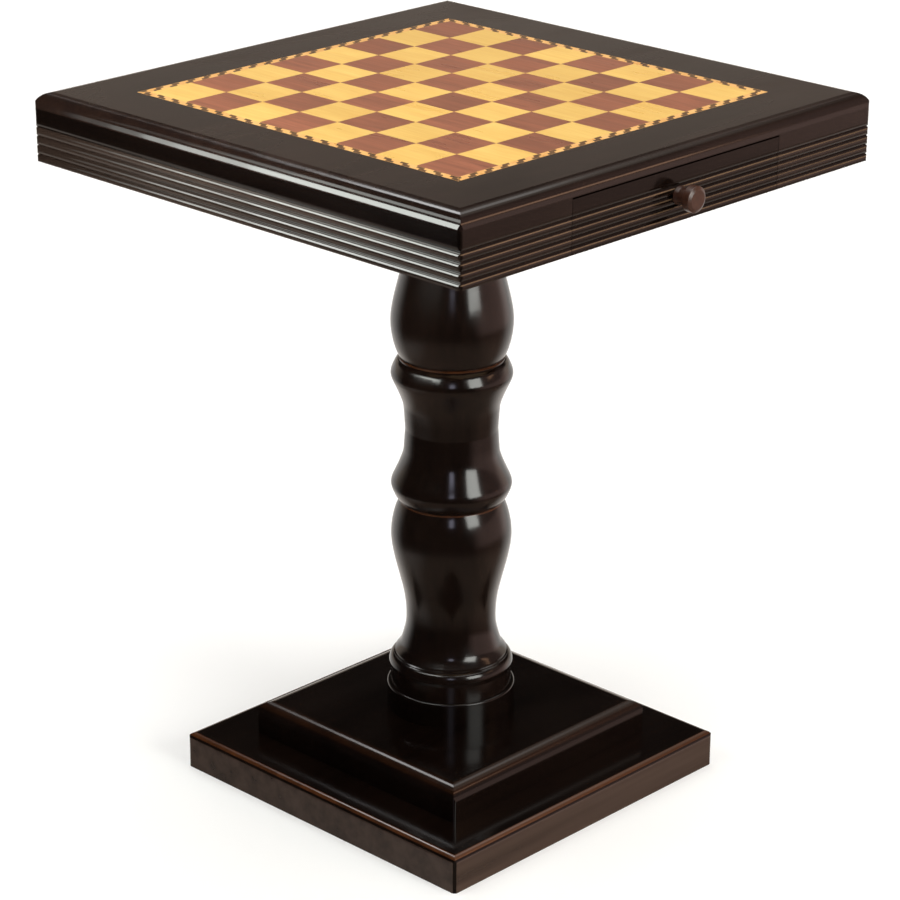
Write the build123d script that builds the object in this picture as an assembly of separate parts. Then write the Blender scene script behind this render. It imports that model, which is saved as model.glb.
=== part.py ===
"""Square chess table on a turned pedestal, with one drawer under the top.

Millimetres, +Z up. The origin is on the floor, on the column's axis.
The drawer opens towards -Y. The chequered field is inlaid flush with the top.
Every piece of wood, screw, nut and washer is a solid of its own.
"""

import os
from math import sqrt

from build123d import *

# ---- driving dimensions ----
square = 50.4
squares_per_side = 8
top_width = 560.0
top_thickness = 15.0
apron_height = 52.0
apron_thickness = 18.0
base_lower_width = 380.0
base_lower_height = 38.0
base_upper_width = 280.0
base_upper_height = 35.0
collar_radius = 64.6
collar_height = 26.0
column_middle_height = 372.0
drawer_width = 282.0
drawer_travel = 140.0

# ---- levels, from the floor up ----
base_upper_floor = base_lower_height
collar_floor = base_upper_floor + base_upper_height
column_floor = collar_floor + collar_height
column_half_height = column_middle_height - column_floor
column_top = column_middle_height + column_half_height
apron_floor = 643.0
apron_top = apron_floor + apron_height
table_height = apron_top + top_thickness

# ---- top and inlay ----
top_half = top_width / 2
inlay_thickness = 1.0
field_half = square * squares_per_side / 2
band_width = 9.0
band_line = 0.3
dash_pitch = 0.4 * square
dash_length = 15.0
dash_bar = 9.0
dash_lean = 2.0
dash_shift_x = -6.5
dash_shift_y = -0.5
smallest_dash_area = 4.0
edge_round = 14.0
corner_round = 4.0

# ---- reeded apron ----
reed_pitch = 8.97
reed_depth = 2.0
reed_count = 4
first_groove = 676.8
reed_radius = ((reed_pitch / 2) ** 2 + reed_depth**2) / (2 * reed_depth)
apron_inner = top_half - apron_thickness
drawer_gap = 0.6
drawer_top_gap = 1.5
running_gap = 0.3

# ---- drawer box, side hung on two slips ----
side_thickness = 12.0
box_half_width = 126.0
box_back = -66.0
box_floor = 648.0
side_top = 684.0
back_top = 690.0
panel_thickness = 4.0
panel_floor = 652.0
panel_let_in = 4.0
side_let_in = 5.0
slip_floor = 666.0
slip_height = 7.0
slip_depth = 6.0
slip_let_in = 4.0
slip_front = -250.0
guide_gap = 0.5
guide_thickness = 20.0
guide_floor = 650.0
stop_floor = 686.0
stop_depth = 16.0
stop_length = 160.0

# ---- knob ----
knob_height = 667.8
knob_reach = 22.5
knob_head_radius = 12.3
knob_face_radius = 9.0
knob_neck_radius = 7.5
knob_head_thickness = 7.0
knob_bevel = 1.8
knob_screw_radius = 2.0
knob_screw_head_radius = 4.0
knob_screw_head_height = 2.4
knob_screw_grip = 12.0

# ---- inner frame and column fixing ----
bearer_half_width = 45.0
bearer_floor = 665.0
block_width = 120.0
corner_block_leg = 45.0
rod_radius = 5.0
rod_clearance_radius = 6.0
nut_across_flats = 17.0
nut_height = 8.0
washer_radius = 12.0
washer_thickness = 2.0
socket_radius = 16.0
foot_socket_depth = 14.0
head_socket_depth = 13.0
rod_spare = 2.0

# ---- base mouldings ----
base_lower_round = 7.0
base_upper_round = 15.0
collar_round = 2.4

# ---- countersunk wood screws ----
screw_radius = 2.0
screw_head_radius = 4.2
screw_head_height = 2.6
screw_point = 4.0
screw_slot = 0.9
screw_slot_depth = 1.4
screw_recess = 0.5


def box_between(low, high):
    """A box from its lowest corner to its highest corner."""
    size = [b - a for a, b in zip(low, high)]
    centre = [(a + b) / 2 for a, b in zip(low, high)]
    return Pos(*centre) * Box(*size)


def quarter_turn(shape, turns):
    """The shape turned about the column's axis by that many quarters."""
    return Rot(0, 0, 90 * turns) * shape


def arris_cutter(half, low, high):
    """What rounds the four standing corners of a square piece of that half width."""
    inner = half - corner_round
    reach = corner_round + 1
    stock = Pos(inner + reach / 2, inner + reach / 2) * Rectangle(reach, reach)
    outline = stock - Pos(inner, inner) * Circle(corner_round)
    cutter = Pos(0, 0, low) * extrude(outline, high - low)
    return [quarter_turn(cutter, turns) for turns in range(4)]


def moulded_slab(outline, half, low, high):
    """A square slab with the outline's edge moulding on all four sides, mitred at the corners."""
    reach = 2 * half + 2
    bar = extrude(Plane.XZ * outline, reach / 2, both=True)
    return (bar & quarter_turn(bar, 1)) - arris_cutter(half, low, high)


def rounded_plate_outline(width, low, high, radius):
    """A plate's section with its two upper edges rounded."""
    plate = Pos(0, (low + high) / 2) * Rectangle(width, high - low)
    return fillet(plate.vertices().group_by(Axis.Y)[-1], radius)


# ---- screws, nuts and washers ----


def screw(length):
    """A countersunk wood screw, its head's face at the origin, pointing up."""
    shank_length = length - screw_head_height - screw_point
    shank = Pos(0, 0, screw_head_height) * extrude(Circle(screw_radius), shank_length)
    head = Pos(0, 0, screw_head_height / 2) * Cone(screw_head_radius, screw_radius, screw_head_height)
    point = Pos(0, 0, length - screw_point / 2) * Cone(screw_radius, 0.2, screw_point)
    return shank + head + point


def cross_slot():
    """The cross recess of a screw head, to be cut from the face at the origin."""
    slot = Box(2 * screw_radius, screw_slot, 2 * screw_slot_depth)
    return slot + Rot(0, 0, 90) * slot


def screw_group(places, length):
    """Screws that stand on the given points, as holes to cut and as finished screws."""
    holes = [Pos(*place) * screw(length) for place in places]
    finished = [Pos(*place) * (screw(length) - cross_slot()) for place in places]
    return holes, finished


def mirrored_places(x, y, z):
    """Four points, one in each quadrant."""
    return [(sx * x, sy * y, z) for sx in (-1, 1) for sy in (-1, 1)]


bearer_holes, bearer_screws = screw_group(mirrored_places(185, 26, bearer_floor), 38)
block_holes, block_screws = screw_group(mirrored_places(46, 30, column_top), 40)
base_screw_spacing = 95
base_screw_places = mirrored_places(base_screw_spacing, base_screw_spacing, screw_recess)
base_holes, base_screws = screw_group(base_screw_places, 60)
stop_holes, stop_screws = screw_group([(-55, 0, stop_floor), (55, 0, stop_floor)], 17)

guide_middle = box_half_width + guide_gap + guide_thickness / 2
guide_places = [(side * guide_middle, y, guide_floor) for side in (-1, 1) for y in (-235, -85)]
guide_holes, guide_screws = screw_group(guide_places, 53)

foot_nut_floor = foot_socket_depth - washer_thickness - nut_height
head_washer_floor = apron_top - head_socket_depth
head_nut_floor = head_washer_floor + washer_thickness


def tie_rod():
    """The long rod that clamps base, collar, column, block and bearer together."""
    low = foot_nut_floor - rod_spare
    high = head_nut_floor + nut_height + rod_spare
    return Pos(0, 0, low) * extrude(Circle(rod_radius), high - low)


def nut(z):
    """A hexagon nut whose lower face is at that height."""
    hexagon = RegularPolygon(nut_across_flats / 2, 6, major_radius=False)
    return Pos(0, 0, z) * extrude(hexagon - Circle(rod_radius), nut_height)


def washer(z):
    """A plain washer whose lower face is at that height."""
    return Pos(0, 0, z) * extrude(Circle(washer_radius) - Circle(rod_clearance_radius), washer_thickness)


rod_hole = Cylinder(rod_clearance_radius, 2 * table_height)


# ---- table top ----


def top_panel():
    """The moulded top, with the shallow recess for the inlay and the screws' pilot holes."""
    outline = rounded_plate_outline(top_width, apron_top, table_height, edge_round)
    slab = moulded_slab(outline, top_half, apron_top - 1, table_height + 1)
    recess_width = 2 * (field_half + band_width)
    recess = Pos(0, 0, table_height) * Box(recess_width, recess_width, 2 * inlay_thickness)
    return slab - recess - bearer_holes - guide_holes - placed_stop(stop_holes)


def square_tiles(remainder):
    """The squares whose column and row add up to an odd or an even number."""
    tiles = []
    for column in range(squares_per_side):
        for row in range(squares_per_side):
            if (column + row) % 2 == remainder:
                x = -field_half + (column + 0.5) * square
                y = -field_half + (row + 0.5) * square
                tile = Box(square, square, inlay_thickness)
                tiles.append(Pos(x, y, table_height - inlay_thickness / 2) * tile)
    return tiles


def band_point(along, across, swap, sign):
    """A point of the border: along one side, and across it from the field outwards."""
    x, y = sign * along, -sign * (field_half + across)
    return (y, x) if swap else (x, y)


def band_outline(swap, sign, inset):
    """One side of the border, mitred at both ends, drawn in by the inset all round."""
    corners = []
    for across in (inset, band_width - inset):
        reach = field_half + across - inset * 0.4
        corners.append([band_point(side * reach, across, swap, sign) for side in (-1, 1)])
    inner, outer = corners
    return make_face(Polyline(*inner, *reversed(outer), close=True))


def dash_outline(centre, swap, sign):
    """One dark dash: an outer bar and an inner bar that lean the same way and join in the middle."""
    outer, middle, inner = band_width - band_line, band_width / 2, band_line
    reach = (dash_length - dash_lean) / 2
    joined = dash_bar - reach
    points = [
        (-reach - dash_lean, outer),
        (joined - dash_lean, outer),
        (joined, middle),
        (reach, middle),
        (reach + dash_lean, inner),
        (dash_lean - joined, inner),
        (-joined, middle),
        (-reach, middle),
    ]
    placed = [band_point(centre + along, across, swap, sign) for along, across in points]
    return make_face(Polyline(*placed, close=True))


def border_side(swap, sign):
    """One side of the border: its light strip with pockets, and the dark dashes in them."""
    shift = dash_shift_y if swap else dash_shift_x
    room = band_outline(swap, sign, band_line)
    dashes = []
    for number in range(-11, 12):
        clipped = dash_outline(sign * (shift + number * dash_pitch), swap, sign) & room
        dashes += [face for face in clipped.faces() if face.area > smallest_dash_area]
    strip = band_outline(swap, sign, 0) - dashes
    lift = Pos(0, 0, table_height - inlay_thickness)
    light = [lift * extrude(face, inlay_thickness, dir=(0, 0, 1)) for face in strip.faces()]
    dark = [lift * extrude(face, inlay_thickness, dir=(0, 0, 1)) for face in dashes]
    return light, dark


# ---- apron ----


def reeded_section(face, low, high, back):
    """The section of a reeded board: a plain band, then half-round reeds down to its lower edge.

    The section's first coordinate points outwards from the column, the second one up.
    """
    groove = face - reed_depth
    crest_drop = reed_pitch / 2
    lines = [Line((back, high), (face, high)), Line((face, high), (face, first_groove + crest_drop))]
    start_of_round = (face, first_groove + crest_drop)
    shoulder = RadiusArc(start_of_round, (groove, first_groove), reed_radius)
    lines.append(shoulder)
    for reed in range(reed_count - 1):
        top = first_groove - reed * reed_pitch
        crest = (face, top - crest_drop)
        lines.append(ThreePointArc((groove, top), crest, (groove, top - reed_pitch)))
    top = first_groove - (reed_count - 1) * reed_pitch
    crest = (face, top - crest_drop)
    below_crest = crest[1] - low
    foot = (face - reed_radius + sqrt(reed_radius**2 - below_crest**2), low)
    lines.append(ThreePointArc((groove, top), crest, foot))
    lines.append(Line(foot, (back, low)))
    lines.append(Line((back, low), (back, high)))
    return make_face(Wire(lines))


def reeded_board(face, high, back, half_length):
    """A reeded board on the drawer's side of the table, its face towards -Y."""
    section = reeded_section(face, apron_floor, high, back)
    across = Plane(origin=(0, 0, 0), x_dir=(0, -1, 0), z_dir=(-1, 0, 0))
    return extrude(across * section, half_length, both=True)


def mitred_apron():
    """One side of the apron, mitred at both ends, on the drawer's side of the table."""
    board = reeded_board(top_half, apron_top, apron_inner, top_half)
    reach = top_half + 1
    wedge_outline = make_face(Polyline((0, 0), (-reach, -reach), (reach, -reach), close=True))
    wedge = Pos(0, 0, apron_floor - 1) * extrude(wedge_outline, apron_height + 2)
    return (board & wedge) - arris_cutter(top_half, apron_floor - 1, apron_top + 1)


def front_apron():
    """The two pieces of apron beside the drawer."""
    opening_half = drawer_width / 2 + drawer_gap
    opening = Pos(0, -top_half, apron_floor) * Box(2 * opening_half, top_half, 4 * apron_height)
    pieces = (mitred_apron() - opening).solids().sort_by(Axis.X)
    return pieces[0], pieces[1]


# ---- drawer ----

front_face = top_half
front_back = apron_inner + running_gap
drawer_front_top = apron_top - drawer_top_gap
side_inner = box_half_width - side_thickness
back_front = box_back - side_thickness
screw_inner_end = -front_back + knob_screw_head_height
screw_outer_end = -front_face - knob_screw_grip


def drawer_side():
    """The drawer's side at +X, grooved inside for the bottom and outside for the slip."""
    front_end = -front_back - side_let_in
    board = box_between((side_inner, front_end, box_floor), (box_half_width, box_back, side_top))
    slip_groove = box_between(
        (box_half_width - slip_depth, slip_front, slip_floor),
        (box_half_width + 1, box_back + 1, slip_floor + slip_height),
    )
    return board - slip_groove - drawer_bottom()


def drawer_bottom():
    """The thin bottom panel, let into the sides and the front, and run under the back."""
    reach = side_inner + panel_let_in
    low = (-reach, -front_back - panel_let_in, panel_floor)
    return box_between(low, (reach, box_back, panel_floor + panel_thickness))


def drawer_back():
    """The back board, taller than the sides so that it meets the stop."""
    low = (-side_inner, back_front, panel_floor + panel_thickness)
    return box_between(low, (side_inner, box_back, back_top))


def drawer_front():
    """The reeded drawer front, with housings for the sides, the bottom and the knob's screw."""
    board = reeded_board(front_face, drawer_front_top, front_back, drawer_width / 2)
    side = drawer_side()
    return board - [side, mirror(side, Plane.YZ)] - drawer_bottom() - knob_screw()


def along_drawer(shape, y):
    """A shape made along +Z, laid along -Y from the given place on the knob's axis."""
    return Pos(0, y, knob_height) * Rot(90, 0, 0) * shape


def knob():
    """The turned knob: a flared foot, a neck, and a head with a bevelled face."""
    head_floor = knob_reach - knob_bevel - knob_head_thickness
    outline = FilletPolyline(
        (0, 0),
        (knob_neck_radius + 1.5, 0),
        (knob_neck_radius, head_floor / 3),
        (knob_neck_radius, head_floor - 1.5),
        (knob_head_radius, head_floor),
        (knob_head_radius, knob_reach - knob_bevel),
        (knob_face_radius, knob_reach),
        (0, knob_reach),
        radius=0.6,
        close=False,
    )
    section = make_face(outline + Line((0, knob_reach), (0, 0)))
    turned = revolve(Plane.XZ * section, Axis.Z)
    return along_drawer(turned, -front_face) - knob_screw()


def knob_screw():
    """The pan-head screw that holds the knob from inside the drawer."""
    length = screw_inner_end - screw_outer_end
    head = extrude(Circle(knob_screw_head_radius), knob_screw_head_height)
    shank = extrude(Circle(knob_screw_radius), length)
    return along_drawer(head + shank, screw_inner_end)


def drawer_guide():
    """The board at +X that carries the slip, screwed up into the top."""
    inner = box_half_width + guide_gap
    high = (inner + guide_thickness, -bearer_half_width, apron_top)
    board = box_between((inner, -apron_inner, guide_floor), high)
    return board - drawer_slip() - guide_holes


def drawer_slip():
    """The hardwood slip at +X that the drawer's side groove slides on."""
    inner = box_half_width + guide_gap
    low = (box_half_width - slip_depth + running_gap, slip_front + running_gap, slip_floor + running_gap)
    high = (inner + slip_let_in, -bearer_half_width, slip_floor + slip_height - running_gap)
    return box_between(low, high)


stop_rear = back_front - drawer_travel - running_gap


def placed_stop(shapes):
    """Shapes made about the stop's middle, moved to where the stop is."""
    return [Pos(0, stop_rear - stop_depth / 2, 0) * shape for shape in shapes]


def drawer_stop():
    """The strip under the top that the drawer's back meets when it is pulled out."""
    low = (-stop_length / 2, -stop_depth / 2, stop_floor)
    strip = box_between(low, (stop_length / 2, stop_depth / 2, apron_top))
    return placed_stop([strip - stop_holes])[0]


# ---- inner frame ----


def cross_bearer():
    """The wide bearer under the top that takes the column's load."""
    low = (-apron_inner, -bearer_half_width, bearer_floor)
    board = box_between(low, (apron_inner, bearer_half_width, apron_top))
    socket = Pos(0, 0, apron_top) * Cylinder(socket_radius, 2 * head_socket_depth)
    return board - socket - rod_hole - bearer_holes - block_holes


def mount_block():
    """The square block between the column and the bearer."""
    half = block_width / 2
    return box_between((-half, -half, column_top), (half, half, bearer_floor)) - rod_hole - block_holes


def corner_blocks():
    """Four glue blocks in the corners of the apron."""
    corner = apron_inner
    near = corner - corner_block_leg
    outline = make_face(Polyline((corner, corner), (near, corner), (corner, near), close=True))
    block = Pos(0, 0, guide_floor) * extrude(outline, apron_top - guide_floor)
    return [quarter_turn(block, turns) for turns in range(4)]


# ---- pedestal ----


def lower_column_outline():
    """The column's outline from its middle down to its foot, as radius and depth below the middle."""
    waist = Spline(
        (46.0, 0), (46.8, 12), (47.9, 25), (50.7, 34), (54.5, 43), (58.9, 52.5), tangents=((0, 1), (0.4, 1))
    )
    bead = Spline(
        (58.9, 52.5), (60.1, 57.5), (58.8, 63.2), (56.6, 68.2), (53.3, 72.5), tangents=((0.4, 1), (-1, 0.9))
    )
    ring = Polyline((53.3, 72.5), (52.4, 72.9), (52.4, 74.6), (51.6, 75.2))
    bulb = Spline(
        (51.6, 75.2), (58.2, 94), (60.2, 113), (57.9, 131), (51.7, 156.5), (46.2, 182), (45.0, 198),
        (45.9, 213), (49.7, 227.5), (56.4, 238.5), tangents=((0.55, 1), (0.8, 1))
    )
    step = Polyline((56.4, 238.5), (56.4, 240.3), (57.6, 240.9), (57.6, 242.2))
    torus = Spline((57.6, 242.2), (61.4, 246.2), (62.4, 251), (61.0, 256), tangents=((1, 0.4), (-0.2, 1)))
    foot = Line((61.0, 256), (61.0, column_half_height))
    return [waist, bead, *ring.edges(), bulb, *step.edges(), torus, foot]


def column():
    """The turned column, the same above and below its middle, bored for the tie rod."""
    lower = lower_column_outline()
    end = column_half_height
    closing = [Line((61.0, end), (0, end)), Line((0, end), (0, 0)), Line((0, 0), (46.0, 0))]
    section = make_face(Wire([*lower, *closing]))
    half = revolve(Plane.XZ * section, Axis.Z)
    whole = half + mirror(half, Plane.XY)
    return Pos(0, 0, column_middle_height) * whole - rod_hole


def collar():
    """The separate disc under the column."""
    disc = extrude(Circle(collar_radius), collar_height)
    disc = fillet(disc.edges().group_by(Axis.Z)[-1], collar_round)
    return Pos(0, 0, collar_floor) * disc - rod_hole


def base_upper():
    """The smaller slab of the base."""
    outline = rounded_plate_outline(base_upper_width, base_upper_floor, collar_floor, base_upper_round)
    slab = moulded_slab(outline, base_upper_width / 2, base_upper_floor - 1, collar_floor + 1)
    return slab - rod_hole - base_holes


def base_lower():
    """The floor slab, with a socket in its underside for the rod's nut."""
    outline = rounded_plate_outline(base_lower_width, 0, base_lower_height, base_lower_round)
    slab = moulded_slab(outline, base_lower_width / 2, -1, base_lower_height + 1)
    socket = Cylinder(socket_radius, 2 * foot_socket_depth)
    mouth = Cylinder(screw_head_radius, 2 * screw_recess)
    mouths = [Pos(x, y, 0) * mouth for x, y, _ in base_screw_places]
    return slab - socket - rod_hole - base_holes - mouths


# ---- the assembly ----


def nodes():
    """Every piece or group of like pieces, by name."""
    sides = [border_side(swap, sign) for swap in (False, True) for sign in (1, -1)]
    front_left, front_right = front_apron()
    side, guide, slip = drawer_side(), drawer_guide(), drawer_slip()
    return {
        "top_panel": top_panel(),
        "light_squares": square_tiles(1),
        "dark_squares": square_tiles(0),
        "border_band": [piece for light, _ in sides for piece in light],
        "border_dashes": [piece for _, dark in sides for piece in dark],
        "apron_front_left": front_left,
        "apron_front_right": front_right,
        "apron_right": quarter_turn(mitred_apron(), 1),
        "apron_back": quarter_turn(mitred_apron(), 2),
        "apron_left": quarter_turn(mitred_apron(), 3),
        "corner_blocks": corner_blocks(),
        "cross_bearer": cross_bearer(),
        "mount_block": mount_block(),
        "drawer_guide_right": guide,
        "drawer_guide_left": mirror(guide, Plane.YZ),
        "drawer_slip_right": slip,
        "drawer_slip_left": mirror(slip, Plane.YZ),
        "drawer_stop": drawer_stop(),
        "drawer_front": drawer_front(),
        "drawer_side_right": side,
        "drawer_side_left": mirror(side, Plane.YZ),
        "drawer_back": drawer_back(),
        "drawer_bottom": drawer_bottom(),
        "knob": knob(),
        "knob_screw": knob_screw(),
        "column": column(),
        "collar": collar(),
        "base_upper": base_upper(),
        "base_lower": base_lower(),
        "tie_rod": tie_rod(),
        "rod_nuts": [nut(foot_nut_floor), nut(head_nut_floor)],
        "rod_washers": [washer(foot_socket_depth - washer_thickness), washer(head_washer_floor)],
        "bearer_screws": bearer_screws,
        "block_screws": block_screws,
        "guide_screws": guide_screws,
        "stop_screws": placed_stop(stop_screws),
        "base_screws": base_screws,
    }


os.makedirs("parts", exist_ok=True)
for name, piece in nodes().items():
    shape = Compound(children=[*piece]) if isinstance(piece, list) else piece
    export_step(shape, f"parts/{name}.step")
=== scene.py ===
"""Looks for the chess table: lacquer, veneers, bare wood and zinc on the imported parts, in a plain studio.

Metres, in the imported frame: origin on the floor under the column, +Z up, drawer towards -Y.
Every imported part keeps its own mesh; this script gives each one a material made of nodes.
"""

import math

import bpy
from mathutils import Matrix, Vector


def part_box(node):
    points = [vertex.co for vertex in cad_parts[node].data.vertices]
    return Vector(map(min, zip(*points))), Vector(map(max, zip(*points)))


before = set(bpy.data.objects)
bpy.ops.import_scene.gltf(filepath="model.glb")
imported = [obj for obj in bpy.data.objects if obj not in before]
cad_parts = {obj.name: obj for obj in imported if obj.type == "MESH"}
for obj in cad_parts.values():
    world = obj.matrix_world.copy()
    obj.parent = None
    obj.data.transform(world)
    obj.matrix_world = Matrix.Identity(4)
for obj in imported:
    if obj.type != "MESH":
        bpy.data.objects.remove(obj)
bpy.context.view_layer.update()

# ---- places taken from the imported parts: a box is its lowest and its highest corner ----
LOW, HIGH = 0, 1
top_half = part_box("top_panel")[HIGH].x
table_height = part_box("top_panel")[HIGH].z
column_middle = (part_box("column")[LOW].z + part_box("column")[HIGH].z) / 2
step_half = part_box("base_upper")[HIGH].x
step_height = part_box("base_upper")[HIGH].z
base_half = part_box("base_lower")[HIGH].x
base_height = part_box("base_lower")[HIGH].z
squares_across = 8
square = 2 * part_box("light_squares")[HIGH].x / squares_across

# ---- sizes that the parts' boxes don't tell ----
first_groove = 0.6768
reed_pitch = 0.00897
reed_depth = 0.002
column_groove = 0.075
top_rounding = 0.014
base_rounding = 0.007
step_rounding = 0.015

X, Y, Z = 0, 1, 2


# ---- node graphs ----


class Graph:
    """A node tree that is built with short calls, each giving back an output socket."""

    def __init__(self, tree):
        self.tree = tree

    def feed(self, socket, value):
        """Links a socket to the input, or sets the input's own value."""
        if isinstance(value, bpy.types.NodeSocket):
            self.tree.links.new(value, socket)
        else:
            socket.default_value = value

    def node(self, kind, inputs, output=0, **settings):
        """Adds a node with its settings and inputs, and gives one of its outputs."""
        node = self.tree.nodes.new(kind)
        for name, value in settings.items():
            setattr(node, name, value)
        for name, value in inputs.items():
            self.feed(node.inputs[name], value)
        return node.outputs[output]

    def coordinates(self, output="Object"):
        """The place on the part, or the direction in the world."""
        return self.node("ShaderNodeTexCoord", {}, output)

    def axes(self, vector):
        """The three components of a vector."""
        first = self.node("ShaderNodeSeparateXYZ", {0: vector})
        return [first.node.outputs[axis] for axis in (X, Y, Z)]

    def math(self, operation, a, b=0.0, c=0.0):
        """One step of arithmetic."""
        return self.node("ShaderNodeMath", {0: a, 1: b, 2: c}, operation=operation)

    def scaled(self, vector, scale, offset=(0, 0, 0)):
        """The vector times a scale for each axis, plus an offset."""
        inputs = {0: vector, 1: scale, 2: offset}
        return self.node("ShaderNodeVectorMath", inputs, operation="MULTIPLY_ADD")

    def added(self, first, second):
        """The sum of two vectors or colours."""
        return self.node("ShaderNodeVectorMath", {0: first, 1: second}, operation="ADD")

    def dimmed(self, colour, level):
        """A colour times a level."""
        return self.node("ShaderNodeVectorMath", {0: colour, "Scale": level}, operation="SCALE")

    def noise(self, vector, scale, detail=2.0, roughness=0.5, distortion=0.0):
        """Soft noise, about 0.5 in the middle of its range."""
        inputs = {
            "Vector": vector,
            "Scale": scale,
            "Detail": detail,
            "Roughness": roughness,
            "Distortion": distortion,
        }
        return self.node("ShaderNodeTexNoise", inputs)

    def rise(self, value, low, high, bottom=0.0, top=1.0):
        """A smooth step of the value from one level to another."""
        inputs = {"Value": value, "From Min": low, "From Max": high, "To Min": bottom, "To Max": top}
        return self.node("ShaderNodeMapRange", inputs, interpolation_type="SMOOTHSTEP")

    def mix(self, factor, first, second):
        """Two colours mixed by a factor."""
        inputs = {"Factor": factor, 6: rgba(first), 7: rgba(second)}
        return self.node("ShaderNodeMix", inputs, 2, data_type="RGBA")

    def ramp(self, value, *stops):
        """A colour ramp over (position, colour) stops."""
        socket = self.node("ShaderNodeValToRGB", {"Fac": value})
        elements = socket.node.color_ramp.elements
        while len(elements) < len(stops):
            elements.new(0.5)
        for element, (position, colour) in zip(elements, stops):
            element.position = position
            element.color = rgba(colour)
        return socket

    def bump(self, height, distance, strength, normal=None):
        """A bump of that many metres, over another bump if one is given."""
        inputs = {"Height": height, "Distance": distance, "Strength": strength}
        if normal:
            inputs["Normal"] = normal
        return self.node("ShaderNodeBump", inputs)


def rgba(colour):
    """A colour with its alpha, or the socket as it is."""
    return colour if isinstance(colour, bpy.types.NodeSocket) else (*colour, 1.0)


def new_graph(name):
    """A new material with its graph and its shader's node."""
    made = bpy.data.materials.new(name)
    made.use_nodes = True
    shader = made.node_tree.nodes["Principled BSDF"]
    return made, Graph(made.node_tree), shader


def finish_shader(graph, shader, colour, roughness, normal, constants):
    """Links what varies over the surface, and sets what doesn't on the shader's own sockets."""
    graph.feed(shader.inputs["Base Color"], colour)
    graph.feed(shader.inputs["Roughness"], roughness)
    graph.feed(shader.inputs["Normal"], normal)
    for name, value in constants.items():
        shader.inputs[name].default_value = value


def along_grain(graph, place, axis, squeeze=0.04):
    """Coordinates drawn out along the grain."""
    scale = [1.0, 1.0, 1.0]
    scale[axis] = squeeze
    return graph.scaled(place, tuple(scale))


# ---- materials ----

# colours of the stain, and of what is laid over it: rubbed wear, painted highlights, painted sheen and
# painted shade
espresso_dark = (0.010, 0.0048, 0.0034)
espresso_light = (0.034, 0.0165, 0.0105)
# rubbed wear on the base's edges, and a painted highlight in the column's grooves
wear_and_highlight = (0.23, 0.075, 0.024)
# painted sheen: the floor's reflection on the base's sides and on the side reeds
painted_sheen = (0.058, 0.037, 0.028)
# painted highlight: the warm line on the reeds
reed_highlight_colour = (0.14, 0.086, 0.048)
# painted shade: near-black for the top's rounded edge and its sides
edge_shade = (0.006, 0.0035, 0.003)


def stain_under_painted_light(colour, light_level):
    """A colour of the stain, times a part's level of painted light and shade: highest on the lit top, low
    on the parts in shade.
    """
    return tuple(light_level * part for part in colour)


def espresso(name, grain, roughness, light_level=1.0, layers=(), polish=None, ior=1.5):
    """Near-black stain under lacquer, with faint grain and cloudy stain.

    The fourth argument scales the stain's colours: painted light and shade, one level for each part,
    lighter on the lit top and darker on the parts in shade. Each layer is (mask, colour, amount), and
    polish is (mask, roughness), where a mask is a function of the graph and the place.
    """
    made, graph, shader = new_graph(name)
    place = graph.coordinates()
    drawn = along_grain(graph, place, grain)
    streaks = graph.noise(drawn, 230.0, 5.0, 0.62)
    cloud = graph.noise(along_grain(graph, place, grain, 0.35), 9.0, 3.0, 0.55, 0.4)
    tone = graph.math("MULTIPLY_ADD", streaks, 0.45, graph.math("MULTIPLY", cloud, 0.55))
    # painted light and shade: the stain's colours scaled by this part's level
    dark = stain_under_painted_light(espresso_dark, light_level)
    light = stain_under_painted_light(espresso_light, light_level)
    colour = graph.ramp(tone, (0.33, dark), (0.68, light))
    patchy = graph.rise(graph.noise(drawn, 60.0, 3.0), 0.25, 0.75, 0.5, 1.0)
    for mask, layer_colour, amount in layers:
        cover = graph.math("MULTIPLY", graph.math("MULTIPLY", mask(graph, place), patchy), amount)
        colour = graph.mix(cover, colour, layer_colour)
    pores = graph.noise(drawn, 420.0, 3.0, 0.7)
    ripple = graph.noise(place, 55.0, 1.0)
    uneven = graph.bump(ripple, 0.00012, 0.2)
    normal = graph.bump(pores, 0.00002, 0.30, uneven)
    rough = graph.rise(cloud, 0.3, 0.75, roughness * 0.85, roughness * 1.25)
    if polish:
        mask, polished = polish
        finer = graph.math("MULTIPLY", mask(graph, place), roughness - polished)
        rough = graph.math("SUBTRACT", rough, finer)
    finish_shader(graph, shader, colour, rough, normal, {"IOR": ior})
    return made


def knob_wood():
    """The knob's reddish brown satin lacquer."""
    made, graph, shader = new_graph("knob_lacquer")
    place = graph.coordinates()
    drawn = along_grain(graph, place, Y, 0.12)
    streaks = graph.noise(drawn, 420.0, 4.0, 0.6)
    cloud = graph.noise(place, 70.0, 2.0)
    tone = graph.math("MULTIPLY_ADD", streaks, 0.5, graph.math("MULTIPLY", cloud, 0.5))
    colour = graph.ramp(tone, (0.3, (0.023, 0.008, 0.0045)), (0.7, (0.060, 0.022, 0.012)))
    normal = graph.bump(streaks, 0.00003, 0.3)
    rough = graph.rise(cloud, 0.3, 0.7, 0.27, 0.38)
    finish_shader(graph, shader, colour, rough, normal, {"IOR": 1.5})
    return made


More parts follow.
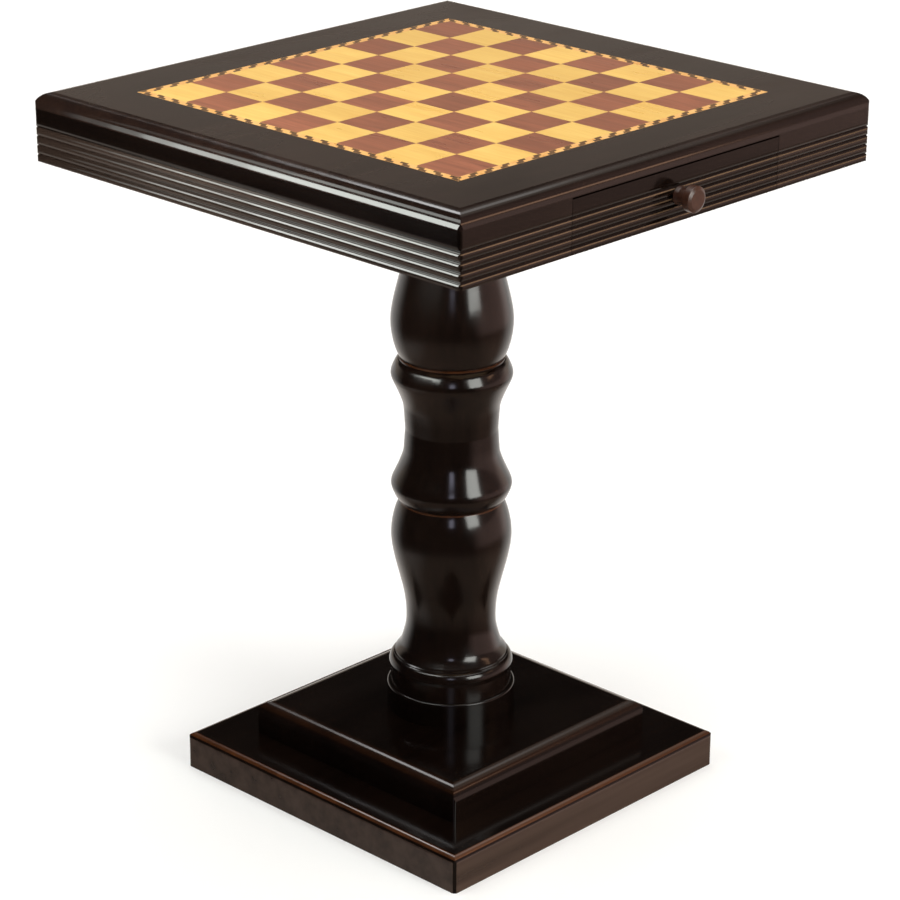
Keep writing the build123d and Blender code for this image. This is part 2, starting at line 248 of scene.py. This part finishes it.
def veneer(name, dark, light, streak_scale, variation, roughness):
    """Veneer squares with their grain along Y, each square cut from a different place."""
    made, graph, shader = new_graph(name)
    place = graph.coordinates()
    corner = (squares_across / 2, squares_across / 2, 0)
    in_squares = graph.scaled(place, (1 / square,) * 3, corner)
    cell = graph.node("ShaderNodeVectorMath", {0: in_squares}, operation="FLOOR")
    flat_cell = graph.scaled(cell, (1, 1, 0))
    chance = graph.node("ShaderNodeTexWhiteNoise", {"Vector": flat_cell}, "Color")
    shifted = graph.added(place, chance)
    drawn = along_grain(graph, shifted, Y, 0.05)
    streaks = graph.noise(drawn, streak_scale, 6.0, 0.6, 0.6)
    figure = graph.noise(along_grain(graph, shifted, Y, 0.18), 38.0, 3.0, 0.5, 0.8)
    tone = graph.math("MULTIPLY_ADD", streaks, 0.6, graph.math("MULTIPLY", figure, 0.4))
    colour = graph.ramp(tone, (0.30, dark), (0.70, light))
    shade = graph.rise(graph.axes(chance)[X], 0.0, 1.0, 1.0 - variation, 1.0)
    toned = graph.dimmed(colour, shade)
    pores = graph.noise(drawn, streak_scale * 2.2, 3.0, 0.7)
    normal = graph.bump(pores, 0.00002, 0.25)
    rough = graph.rise(figure, 0.3, 0.7, roughness * 0.9, roughness * 1.2)
    finish_shader(graph, shader, toned, rough, normal, {"IOR": 1.5})
    return made


def banding(name, dark, light, roughness):
    """The border's strips and dashes: one fine-grained wood, lighter and darker in short runs."""
    made, graph, shader = new_graph(name)
    place = graph.coordinates()
    grain = graph.noise(place, 900.0, 3.0, 0.6)
    runs = graph.noise(place, 65.0, 2.0, 0.5)
    tone = graph.math("MULTIPLY_ADD", grain, 0.5, graph.math("MULTIPLY", runs, 0.5))
    colour = graph.ramp(tone, (0.35, dark), (0.65, light))
    normal = graph.bump(grain, 0.00001, 0.25)
    rough = graph.rise(runs, 0.3, 0.7, roughness * 0.9, roughness * 1.2)
    finish_shader(graph, shader, colour, rough, normal, {"IOR": 1.5})
    return made


def bare_wood(name, grain, dark, light, ring_scale, roughness):
    """Planed wood without lacquer: bowed rings, streaks and open pores."""
    made, graph, shader = new_graph(name)
    place = graph.coordinates()
    drawn = along_grain(graph, place, grain, 0.07)
    rings = graph.noise(along_grain(graph, place, grain, 0.12), ring_scale, 2.0, 0.5, 1.2)
    bands = graph.math("FRACT", graph.math("MULTIPLY", rings, 9.0))
    streaks = graph.noise(drawn, 260.0, 5.0, 0.65)
    tone = graph.math("MULTIPLY_ADD", streaks, 0.7, graph.math("MULTIPLY", bands, 0.3))
    colour = graph.ramp(tone, (0.25, dark), (0.75, light))
    pores = graph.noise(drawn, 600.0, 4.0, 0.7)
    normal = graph.bump(pores, 0.00006, 0.5, graph.bump(streaks, 0.0001, 0.3))
    rough = graph.rise(streaks, 0.3, 0.7, roughness * 0.9, roughness * 1.1)
    finish_shader(graph, shader, colour, rough, normal, {"IOR": 1.45})
    return made


def zinc():
    """Bright zinc plate, slightly mottled and dulled in places."""
    made, graph, shader = new_graph("zinc_plate")
    place = graph.coordinates()
    mottle = graph.noise(place, 420.0, 4.0, 0.6)
    dull = graph.noise(place, 90.0, 3.0, 0.5)
    colour = graph.ramp(dull, (0.35, (0.42, 0.43, 0.42)), (0.65, (0.66, 0.67, 0.66)))
    normal = graph.bump(mottle, 0.00002, 0.4)
    rough = graph.rise(dull, 0.3, 0.7, 0.24, 0.42)
    finish_shader(graph, shader, colour, rough, normal, {"Metallic": 1.0})
    return made


# ---- where the espresso parts differ: masks, each a function of the graph and the place ----


def reach_out(graph, place):
    """How far a point lies from the column's axis, measured squarely to the nearest side."""
    x, y = graph.axes(place)[:Z]
    return graph.math("MAXIMUM", graph.math("ABSOLUTE", x), graph.math("ABSOLUTE", y))


def slab_edge(half, radius):
    """The outer part of the rounded edge of a square slab, and its sides."""
    inner = half - 0.65 * radius
    outer = half - 0.5 * radius
    return lambda graph, place: graph.rise(reach_out(graph, place), inner, outer)


def slab_side(half):
    """The upright sides of a square slab."""
    return lambda graph, place: graph.rise(reach_out(graph, place), half - 0.0004, half - 0.0001)


def slab_wear(half, high, radius):
    """The upper part of the rounded edge of a square slab, whose top is that high."""

    def mask(graph, place):
        z = graph.axes(place)[Z]
        outward = reach_out(graph, place)
        beyond_flat = graph.rise(outward, half - 0.95 * radius, half - 0.75 * radius)
        above_side = graph.rise(z, high - 0.5 * radius, high - 0.35 * radius)
        return graph.math("MULTIPLY", beyond_flat, above_side)

    return mask


def reeds(graph, place):
    """The reeds, but not the plain band over them."""
    return graph.rise(graph.axes(place)[Z], first_groove - 0.0006, first_groove, 1.0, 0.0)


def reed_highlight_lines(graph, place):
    """Where a highlight is painted: a thin line on the upper side of each reed, halfway between its groove
    and its crest.
    """
    down = graph.math("SUBTRACT", first_groove, graph.axes(place)[Z])
    share = graph.math("FRACT", graph.math("DIVIDE", down, reed_pitch))
    off_line = graph.math("ABSOLUTE", graph.math("SUBTRACT", share, 0.25))
    line = graph.rise(off_line, 0.03, 0.09, 1.0, 0.0)
    face = top_half - reed_depth
    on_face = graph.rise(reach_out(graph, place), face - 0.0001, face + 0.0001)
    return graph.math("MULTIPLY", graph.math("MULTIPLY", line, on_face), reeds(graph, place))


def groove_highlight_lines(graph, place):
    """The thin lines in the column's grooves, where a reddish highlight is painted."""
    level = graph.math("ABSOLUTE", graph.math("SUBTRACT", graph.axes(place)[Z], column_middle))
    from_groove = graph.math("ABSOLUTE", graph.math("SUBTRACT", level, column_groove))
    return graph.rise(from_groove, 0.0005, 0.0016, 1.0, 0.0)


def lacquered_looks():
    """The materials of the stained and veneered nodes that show."""
    edge = slab_edge(top_half, top_rounding)
    # painted shade over the top's rounded edge and its sides, against the top's lighter painted tone
    painted_edge_shade = (edge, edge_shade, 0.8)
    # painted highlight: a warm line on each reed
    painted_reed_highlights = (reed_highlight_lines, reed_highlight_colour, 0.8)
    # painted sheen on the side aprons' reeds
    painted_reed_sheen = (reeds, painted_sheen, 0.3)
    # painted highlight: reddish lines in the column's grooves
    painted_groove_highlights = (groove_highlight_lines, wear_and_highlight, 0.22)
    upper_wear = (slab_wear(step_half, step_height, step_rounding), wear_and_highlight, 0.06)
    lower_wear = (slab_wear(base_half, base_height, base_rounding), wear_and_highlight, 0.30)
    # painted sheen: the floor's reflection on the lower slab's sides
    painted_side_sheen = (slab_side(base_half), painted_sheen, 1.0)
    # the fourth number of each espresso is its painted light and shade: lighter on the lit top, darker on
    # the aprons, drawer, column and base in shade
    apron_x = espresso("espresso_apron_x", X, 0.16, 0.3, [painted_reed_highlights])
    apron_y = espresso("espresso_apron_y", Y, 0.11, 0.10, [painted_reed_sheen])
    return {
        "top_panel": espresso("espresso_top", X, 0.27, 0.68, [painted_edge_shade], (edge, 0.12)),
        "light_squares": veneer("light_veneer", (0.84, 0.48, 0.10), (0.97, 0.65, 0.19), 300.0, 0.10, 0.30),
        "dark_squares": veneer("dark_veneer", (0.21, 0.068, 0.035), (0.44, 0.15, 0.078), 260.0, 0.18, 0.30),
        "border_band": banding("light_banding", (0.78, 0.37, 0.09), (0.95, 0.56, 0.20), 0.30),
        "border_dashes": banding("dark_banding", (0.080, 0.036, 0.012), (0.17, 0.080, 0.026), 0.30),
        "apron_front_left": apron_x,
        "apron_front_right": apron_x,
        "apron_back": apron_x,
        "apron_left": apron_y,
        "apron_right": apron_y,
        "drawer_front": espresso("espresso_drawer", X, 0.16, 0.2, [painted_reed_highlights], ior=1.43),
        "column": espresso("espresso_column", Z, 0.17, 0.3, [painted_groove_highlights], ior=1.46),
        "collar": espresso("espresso_collar", X, 0.2, 0.2, ior=1.42),
        "base_upper": espresso("espresso_base_upper", X, 0.15, 0.2, [upper_wear], ior=1.42),
        "base_lower": espresso("espresso_base_lower", X, 0.13, 0.2, [lower_wear, painted_side_sheen]),
        "knob": knob_wood(),
    }


def bare_looks():
    """The materials of the planed wood inside."""
    frame_tones = ((0.26, 0.15, 0.075), (0.50, 0.33, 0.18), 14.0, 0.62)
    drawer_tones = ((0.38, 0.24, 0.12), (0.62, 0.44, 0.25), 11.0, 0.5)
    frame_x = bare_wood("frame_wood_x", X, *frame_tones)
    frame_y = bare_wood("frame_wood_y", Y, *frame_tones)
    frame_z = bare_wood("frame_wood_z", Z, *frame_tones)
    drawer_x = bare_wood("drawer_wood_x", X, *drawer_tones)
    drawer_y = bare_wood("drawer_wood_y", Y, *drawer_tones)
    return {
        "cross_bearer": frame_x,
        "mount_block": frame_x,
        "corner_blocks": frame_z,
        "drawer_guide_right": frame_y,
        "drawer_guide_left": frame_y,
        "drawer_stop": frame_x,
        "drawer_slip_right": drawer_y,
        "drawer_slip_left": drawer_y,
        "drawer_side_right": drawer_y,
        "drawer_side_left": drawer_y,
        "drawer_back": drawer_x,
        "drawer_bottom": bare_wood("plywood", X, (0.45, 0.30, 0.16), (0.66, 0.49, 0.30), 6.0, 0.55),
    }


def dress():
    """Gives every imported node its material. What isn't wood is zinc-plated steel."""
    looks = {**lacquered_looks(), **bare_looks()}
    steel = zinc()
    for name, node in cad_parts.items():
        node.data.materials.clear()
        node.data.materials.append(looks.get(name, steel))


# ---- studio ----


def add_camera():
    """A long lens beyond the corner between the drawer's side and the side on its left, over the top."""
    yaw, pitch, roll = (math.radians(angle) for angle in (44.085, 21.368, 0.212))
    forward = Vector((math.cos(yaw) * math.cos(pitch), math.sin(yaw) * math.cos(pitch), -math.sin(pitch)))
    level_right = Vector((math.sin(yaw), -math.cos(yaw), 0))
    level_up = level_right.cross(forward)
    right = level_right * math.cos(roll) + level_up * math.sin(roll)
    up = level_up * math.cos(roll) - level_right * math.sin(roll)
    turn = Matrix((right, up, -forward)).transposed().to_4x4()
    data = bpy.data.cameras.new("camera")
    data.sensor_width = 36
    data.lens = 122.73
    camera = bpy.data.objects.new("camera", data)
    camera.matrix_world = Matrix.Translation((-2.0276, -1.9616, 1.4508)) @ turn
    bpy.context.scene.collection.objects.link(camera)
    bpy.context.scene.camera = camera


def softbox(name, centre, aim, width, height, radiance, colour=(1, 1, 1)):
    """A rectangular soft light that faces the aim."""
    data = bpy.data.lights.new(name, "AREA")
    data.shape = "RECTANGLE"
    data.size = width
    data.size_y = height
    data.energy = math.pi * radiance * width * height
    data.color = colour
    light = bpy.data.objects.new(name, data)
    away = Vector(centre) - Vector(aim)
    light.rotation_euler = away.to_track_quat("Z", "Y").to_euler()
    light.location = centre
    bpy.context.scene.collection.objects.link(light)


def floor_material():
    """Matt pale paper. Its underside lets light through, so that the table can be seen from below."""
    made, graph, shader = new_graph("pale_paper")
    place = graph.coordinates()
    tooth = graph.noise(place, 300.0, 2.0)
    cloud = graph.noise(place, 1.5, 2.0)
    colour = graph.ramp(cloud, (0.3, (0.86, 0.86, 0.855)), (0.7, (0.88, 0.88, 0.875)))
    constants = {
        "Specular IOR Level": 0.0,
        "Emission Color": (1.0, 1.0, 1.0, 1.0),
        "Emission Strength": 0.15,
    }
    finish_shader(graph, shader, colour, 0.9, graph.bump(tooth, 0.0002, 0.1), constants)
    below = graph.node("ShaderNodeNewGeometry", {}, "Backfacing")
    clear = graph.node("ShaderNodeBsdfTransparent", {})
    inputs = {0: below, 1: shader.outputs[0], 2: clear}
    output = made.node_tree.nodes["Material Output"]
    graph.feed(output.inputs["Surface"], graph.node("ShaderNodeMixShader", inputs))
    return made


def add_floor():
    """A wide floor. The lacquer reflects the world's own levels in its place."""
    far = 30.0
    mesh = bpy.data.meshes.new("floor")
    corners = [(-far, -far, 0), (far, -far, 0), (far, far, 0), (-far, far, 0)]
    mesh.from_pydata(corners, [], [(0, 1, 2, 3)])
    mesh.materials.append(floor_material())
    floor = bpy.data.objects.new("floor", mesh)
    floor.visible_glossy = False
    bpy.context.scene.collection.objects.link(floor)


def add_world():
    """A dark room with a bright ceiling, a pale wall far behind the table and a dim one to the right.

    Its levels under the horizon are what the lacquer mirrors of the floor.
    """
    world = bpy.data.worlds.new("studio")
    world.use_nodes = True
    bpy.context.scene.world = world
    graph = Graph(world.node_tree)
    direction = graph.coordinates("Generated")
    height = graph.axes(direction)[Z]

    def glow(colour, *levels):
        """A colour times the product of its levels."""
        level = levels[0]
        for factor in levels[1:]:
            level = graph.math("MULTIPLY", level, factor)
        return graph.dimmed(colour, level)

    def towards(azimuth, low, high):
        """1 around an azimuth, falling to 0 where the cosine of the angle off it is low."""
        aim = (math.cos(math.radians(azimuth)), math.sin(math.radians(azimuth)), 0)
        inputs = {0: direction, 1: aim}
        facing = graph.node("ShaderNodeVectorMath", inputs, "Value", operation="DOT_PRODUCT")
        return graph.rise(facing, low, high)

    def between(foot_low, foot_high, head_low, head_high):
        """1 over a band of heights, fading at its foot and at its head."""
        foot = graph.rise(height, foot_low, foot_high)
        return graph.math("MULTIPLY", foot, graph.rise(height, head_low, head_high, 1.0, 0.0))

    behind = towards(44, 0.20, 0.70)
    to_the_right = towards(-47, 0.6, 0.9)
    ceiling = glow((1.0, 0.99, 0.97), graph.rise(height, 0.76, 0.90, 0.016, 3.1))
    far_floor = glow((0.90, 0.86, 0.82), behind, graph.rise(height, -0.05, 0.0, 1.0, 0.0))
    pale_wall = glow((0.72, 0.61, 0.51), behind, between(-0.05, 0.0, 0.19, 0.27))
    dim_floor = glow((0.20, 0.12, 0.09), to_the_right, graph.rise(height, -0.34, -0.20, 1.0, 0.0))
    dim_wall = glow((0.75, 0.50, 0.44), to_the_right, between(-0.34, -0.20, 0.10, 0.16))
    dim_height = glow((0.30, 0.20, 0.18), to_the_right, between(0.10, 0.16, 0.70, 0.76))
    high_right = glow((0.60, 0.53, 0.46), towards(-4, 0.55, 0.66), between(0.62, 0.69, 0.80, 0.85))
    to_the_left = towards(136, 0.6, 0.9)
    left_floor = glow((0.34, 0.33, 0.32), to_the_left, graph.rise(height, -0.55, -0.42, 1.0, 0.0))
    near_floor = glow((0.22, 0.165, 0.125), graph.rise(height, -0.62, -0.32, 1.0, 0.0))
    floors = (far_floor, dim_floor, left_floor, near_floor)
    walls = (pale_wall, dim_wall, dim_height, high_right)
    total = ceiling
    for part in (*floors, *walls):
        total = graph.added(total, part)
    graph.feed(world.node_tree.nodes["Background"].inputs["Color"], total)


def far_lamp(name, azimuth, low, radiance):
    """A high lamp 8 m away, whose lower edge stands at that many degrees over the top."""
    distance, tall, wide = 8.0, 1.04, 2.0
    around = math.radians(azimuth)
    up = math.radians(low) + tall / 2 / distance
    away = Vector((math.cos(around) * math.cos(up), math.sin(around) * math.cos(up), math.sin(up)))
    top = Vector((0, 0, table_height))
    softbox(name, top + distance * away, top, wide, tall, radiance)


def left_window(name, low, high, panes, colour):
    """Panes side by side between two heights, a hand's length to the left of the table.

    Each pane is (near end, far end, radiance).
    """
    x = -top_half - 0.17
    for number, (start, end, radiance) in enumerate(panes):
        middle = (x, (start + end) / 2, (low + high) / 2)
        inward = (0, middle[Y], middle[Z])
        softbox(name + "_" + str(number), middle, inward, end - start, high - low, radiance, colour)


def add_lights():
    """The soft lights, placed by the highlights that they leave on the lacquer."""
    white = (0.96, 1.0, 0.95)
    bright = [(-0.17, 0.15, 13), (0.15, 0.26, 8.2), (0.26, 0.31, 5.5), (0.31, 0.36, 2), (0.36, 0.42, 0.8)]
    grey = [(-0.13, 0.14, 4.3), (0.14, 0.23, 2.2), (0.23, 0.28, 1.2), (0.28, 0.41, 0.45)]
    left_window("window_low", 0.653, 0.744, bright, white)
    left_window("window_high", 0.794, 0.89, grey, white)
    far_lamp("lamp_behind", 90, 46.9, 8.0)
    far_lamp("lamp_right", -1, 45.3, 1.2)
    softbox("right_box", (-0.05, -3.2, 1.55), (0, 0, 0.4), 1.45, 1.5, 9.0, (0.98, 1.0, 0.95))
    softbox("front_strip", (-2.3, -2.25, 1.5), (0, 0, 0.4), 0.5, 0.8, 4.0, (0.80, 0.80, 1.0))
    softbox("warm_strip", (1.0, -1.39, 1.08), (0, -0.28, 0.68), 0.5, 0.16, 2.9, (1.0, 0.56, 0.33))


add_camera()
dress()
add_floor()
add_world()
add_lights()
bpy.context.scene.view_settings.view_transform = "Standard"
